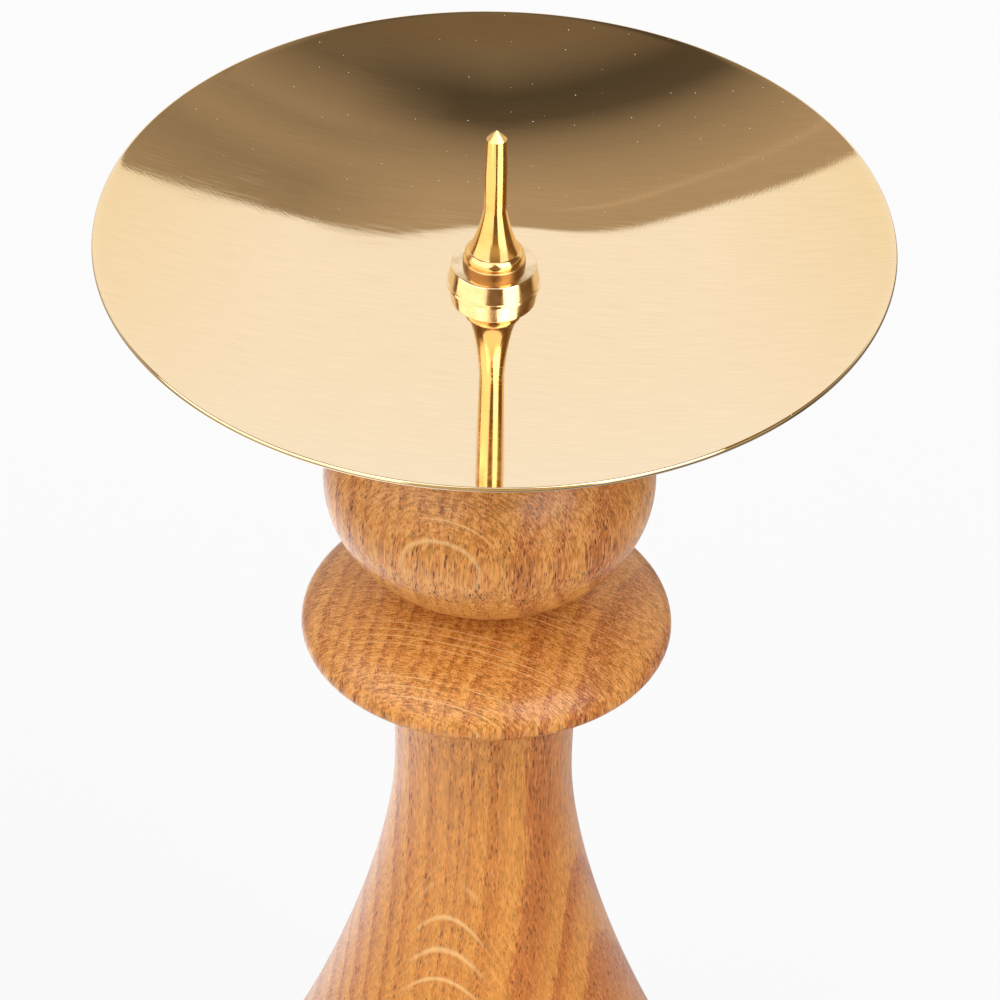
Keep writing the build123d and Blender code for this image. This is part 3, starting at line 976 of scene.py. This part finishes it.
class CANDLESTAND_OT_stage(bpy.types.Operator):
    """Lays the pale floor, lights the studio and sets the camera"""

    bl_idname = "candlestand.stage"
    bl_label = "Studio"

    def floor(self, s):
        """A pale floor that keeps soft shadows close to the stand and fades to white away from it.

        Shiny pieces mirror painted light on it: an emission, brightest close by on the left, that
        stands in for the studio's light falling there.
        """
        bpy.ops.object.select_all(action="DESELECT")
        bpy.ops.mesh.primitive_plane_add(size=s.floor_size)
        floor = bpy.context.object
        floor.name = "floor"
        material, tree = new_material("studio_floor")
        place = node(tree, "TexCoord")["Object"]
        x, y, _ = node(tree, "SeparateXYZ", [place])
        away = node(tree, "VectorMath", [place], operation="LENGTH")["Value"]
        near = node(tree, "MapRange", [away, 0.25, 0.55, 1, 0.25])[0]
        left = node(tree, "MapRange", [x, 0.03, -0.13, 0.25, 1.3])[0]
        back = node(tree, "MapRange", [y, -0.1, 0.15, 0, 0.45])[0]
        front = node(tree, "MapRange", [y, -0.05, -0.25, 0, 0.5])[0]
        painted_pool = node(tree, "Math", [left, back])[0]
        painted_pool = node(tree, "Math", [painted_pool, front])[0]
        painted_pool = node(tree, "Math", [painted_pool, near], operation="MULTIPLY")[0]
        rays = node(tree, "LightPath")
        paper = node(tree, "BsdfDiffuse", {"Color": s.floor})[0]
        # Painted light: glossy rays see this pool as an emission, not as lit paper.
        mirrored = node(tree, "Emission", {"Color": painted_pool, "Strength": 1})[0]
        glow = node(tree, "Emission", {"Color": WHITE, "Strength": 1})[0]
        surface = node(tree, "MixShader", [rays["Is Glossy Ray"], paper, mirrored])[0]
        fade = node(tree, "MapRange", [away, 0.2, 0.9, 0.85, 1])[0]
        seen = node(tree, "Math", [rays["Is Camera Ray"], fade], operation="MULTIPLY")[0]
        surface = node(tree, "MixShader", [seen, surface, glow])[0]
        node(tree, "OutputMaterial", [surface])
        floor.data.materials.append(material)

    def softbox(self, name, turn, rise, distance, width, height, power):
        """A softbox at a bearing to the right of the camera and an elevation, turned to the bulb."""
        away = Vector((sin(turn) * cos(rise), -cos(turn) * cos(rise), sin(rise)))
        lamp = bpy.data.lights.new(name, "AREA")
        lamp.shape = "RECTANGLE"
        lamp.size = width
        lamp.size_y = height
        lamp.energy = power
        thing = bpy.data.objects.new(name, lamp)
        bpy.context.collection.objects.link(thing)
        thing.location = LIT_POINT + away * distance
        thing.rotation_euler = away.to_track_quat("Z", "Y").to_euler()

    def room(self):
        """The room round the stand: a white backdrop below, a dark ceiling above it.

        What a mirror shows of the room depends on the height of its line of sight. The camera sees
        plain white, and rough surfaces get an even grey light.
        """
        world = bpy.data.worlds.new("studio")
        bpy.context.scene.world = world
        world.use_nodes = True
        tree = world.node_tree
        tree.nodes.clear()
        x, y, z = node(tree, "SeparateXYZ", [node(tree, "TexCoord")["Generated"]])
        aside = node(tree, "Math", [x], operation="ABSOLUTE")[0]
        band = node(tree, "Math", [aside, -0.2, z], operation="MULTIPLY_ADD")[0]
        left = node(tree, "ValToRGB", [band], stops=CEILING_LEFT)[0]
        right = node(tree, "ValToRGB", [band], stops=CEILING_RIGHT)[0]
        side = node(tree, "MapRange", [x, 0.03, 0.13, 0, 1])[0]
        ceiling = node(tree, "Mix", {0: side, 6: left, 7: right}, data_type="RGBA")[2]
        # The skyline, where backdrop and ceiling meet, is a little higher on either side.
        across = node(tree, "MapRange", [x, -0.3, 0.3, 0, 1])[0]
        skyline = node(tree, "ValToRGB", [across], stops=SKYLINE)[0]
        over = node(tree, "Math", [z, skyline], operation="SUBTRACT")[0]
        beam = node(tree, "Math", [aside, -0.09, over], operation="MULTIPLY_ADD")[0]
        beam = node(tree, "ValToRGB", [beam], stops=BEAM)[0]
        away = node(tree, "MapRange", [x, -0.015, -0.06, 0, 1])[0]
        beam = node(tree, "Math", [beam, away], operation="MULTIPLY")[0]
        ceiling = node(tree, "VectorMath", [beam, (1, 1, 1), ceiling], operation="MULTIPLY_ADD")[0]
        ceiling = node(tree, "VectorMath", [ceiling, CEILING_TINT], operation="MULTIPLY")[0]
        tint = node(tree, "MapRange", [aside, 0.12, 0.3, 0, 1])[0]
        white = node(
            tree, "Mix", {0: tint, 6: BACKDROP, 7: BACKDROP_SIDES}, data_type="RGBA"
        )[2]
        over = node(tree, "MapRange", [over, -0.002, 0.002, 0, 1])[0]
        behind = node(tree, "Mix", {0: over, 6: white, 7: ceiling}, data_type="RGBA")[2]
        wings = node(tree, "MapRange", [y, 0.3, 0.5, 0, 1])[0]
        level = node(tree, "MapRange", [z, 0.1, 0.35, 0, 1])[0]
        ahead = node(tree, "Mix", {0: level, 6: FRONT_LOW, 7: FRONT_HIGH}, data_type="RGBA")[2]
        # White boards below the two softboxes carry their light down to the table.
        front = node(tree, "Math", [y, -1], operation="MULTIPLY")[0]
        bearing = node(tree, "Math", [x, front], operation="ARCTAN2")[0]
        bearing = node(tree, "MapRange", [bearing, -pi, pi, 0, 1])[0]
        boards = node(tree, "ValToRGB", [bearing], stops=BOARDS)[0]
        low = node(tree, "MapRange", [z, 0.3, 0.36, 1, 0])[0]
        boards = node(tree, "VectorMath", {0: boards, "Scale": low}, operation="SCALE")[0]
        ahead = node(tree, "VectorMath", [ahead, boards], operation="ADD")[0]
        mirrored = node(tree, "Mix", {0: wings, 6: ahead, 7: behind}, data_type="RGBA")[2]
        above = node(tree, "MapRange", [z, 0, 1, 0.62, 0.3])[0]
        rays = node(tree, "LightPath")
        shown = node(
            tree, "Mix", {0: rays["Is Glossy Ray"], 6: above, 7: mirrored}, data_type="RGBA"
        )[2]
        shown = node(
            tree, "Mix", {0: rays["Is Camera Ray"], 6: shown, 7: WHITE}, data_type="RGBA"
        )[2]
        light = node(tree, "Background", {"Color": shown, "Strength": 1})[0]
        node(tree, "OutputWorld", [light])

    def camera(self, s):
        """The photograph's view: from the front and above, through a long lens."""
        away = Vector((0, -cos(s.elevation), sin(s.elevation)))
        data = bpy.data.cameras.new("camera")
        data.lens = s.lens
        data.clip_end = CAMERA_REACH
        thing = bpy.data.objects.new("camera", data)
        bpy.context.collection.objects.link(thing)
        turn = away.to_track_quat("Z", "Y").to_matrix().to_4x4()
        place = Matrix.Translation(Vector(s.aim) + away * s.distance)
        thing.matrix_world = place @ turn @ Matrix.Rotation(s.roll, 4, "Z")
        bpy.context.scene.camera = thing

    def execute(self, context):
        s = context.scene.candle_stage
        self.floor(s)
        for name, (turn, rise, *sizes) in SOFTBOXES.items():
            self.softbox(name, radians(turn), radians(rise), *sizes)
        self.room()
        self.camera(s)
        context.scene.view_settings.view_transform = "Standard"
        return {"FINISHED"}


class CANDLESTAND_PT_panel(bpy.types.Panel):
    """Lists the pieces of the candle stand"""

    bl_label = "Candle stand"
    bl_idname = "CANDLESTAND_PT_panel"
    bl_space_type = "VIEW_3D"
    bl_region_type = "UI"
    bl_category = "Candle stand"

    def draw(self, context):
        for maker in MAKERS:
            self.layout.operator(maker.bl_idname)


MAKERS = (
    CANDLESTAND_OT_felt,
    CANDLESTAND_OT_foot,
    CANDLESTAND_OT_column,
    CANDLESTAND_OT_stud,
    CANDLESTAND_OT_pan,
    CANDLESTAND_OT_collar,
    CANDLESTAND_OT_spike,
    CANDLESTAND_OT_stage,
)
GROUPS = {
    "candle_oak": OakSizes,
    "candle_brass": BrassSizes,
    "candle_stud": StudSizes,
    "candle_stage": StageSizes,
}


def register():
    for group in GROUPS.values():
        bpy.utils.register_class(group)
    for maker in MAKERS + (CANDLESTAND_PT_panel,):
        bpy.utils.register_class(maker)
    for name, group in GROUPS.items():
        setattr(bpy.types.Scene, name, PointerProperty(type=group))


def unregister():
    for name in GROUPS:
        delattr(bpy.types.Scene, name)
    for made in (CANDLESTAND_PT_panel,) + MAKERS[::-1] + tuple(GROUPS.values()):
        bpy.utils.unregister_class(made)


def main():
    register()
    for maker in MAKERS:
        getattr(bpy.ops.candlestand, maker.bl_idname.split(".")[1])()


if __name__ == "__main__":
    main()
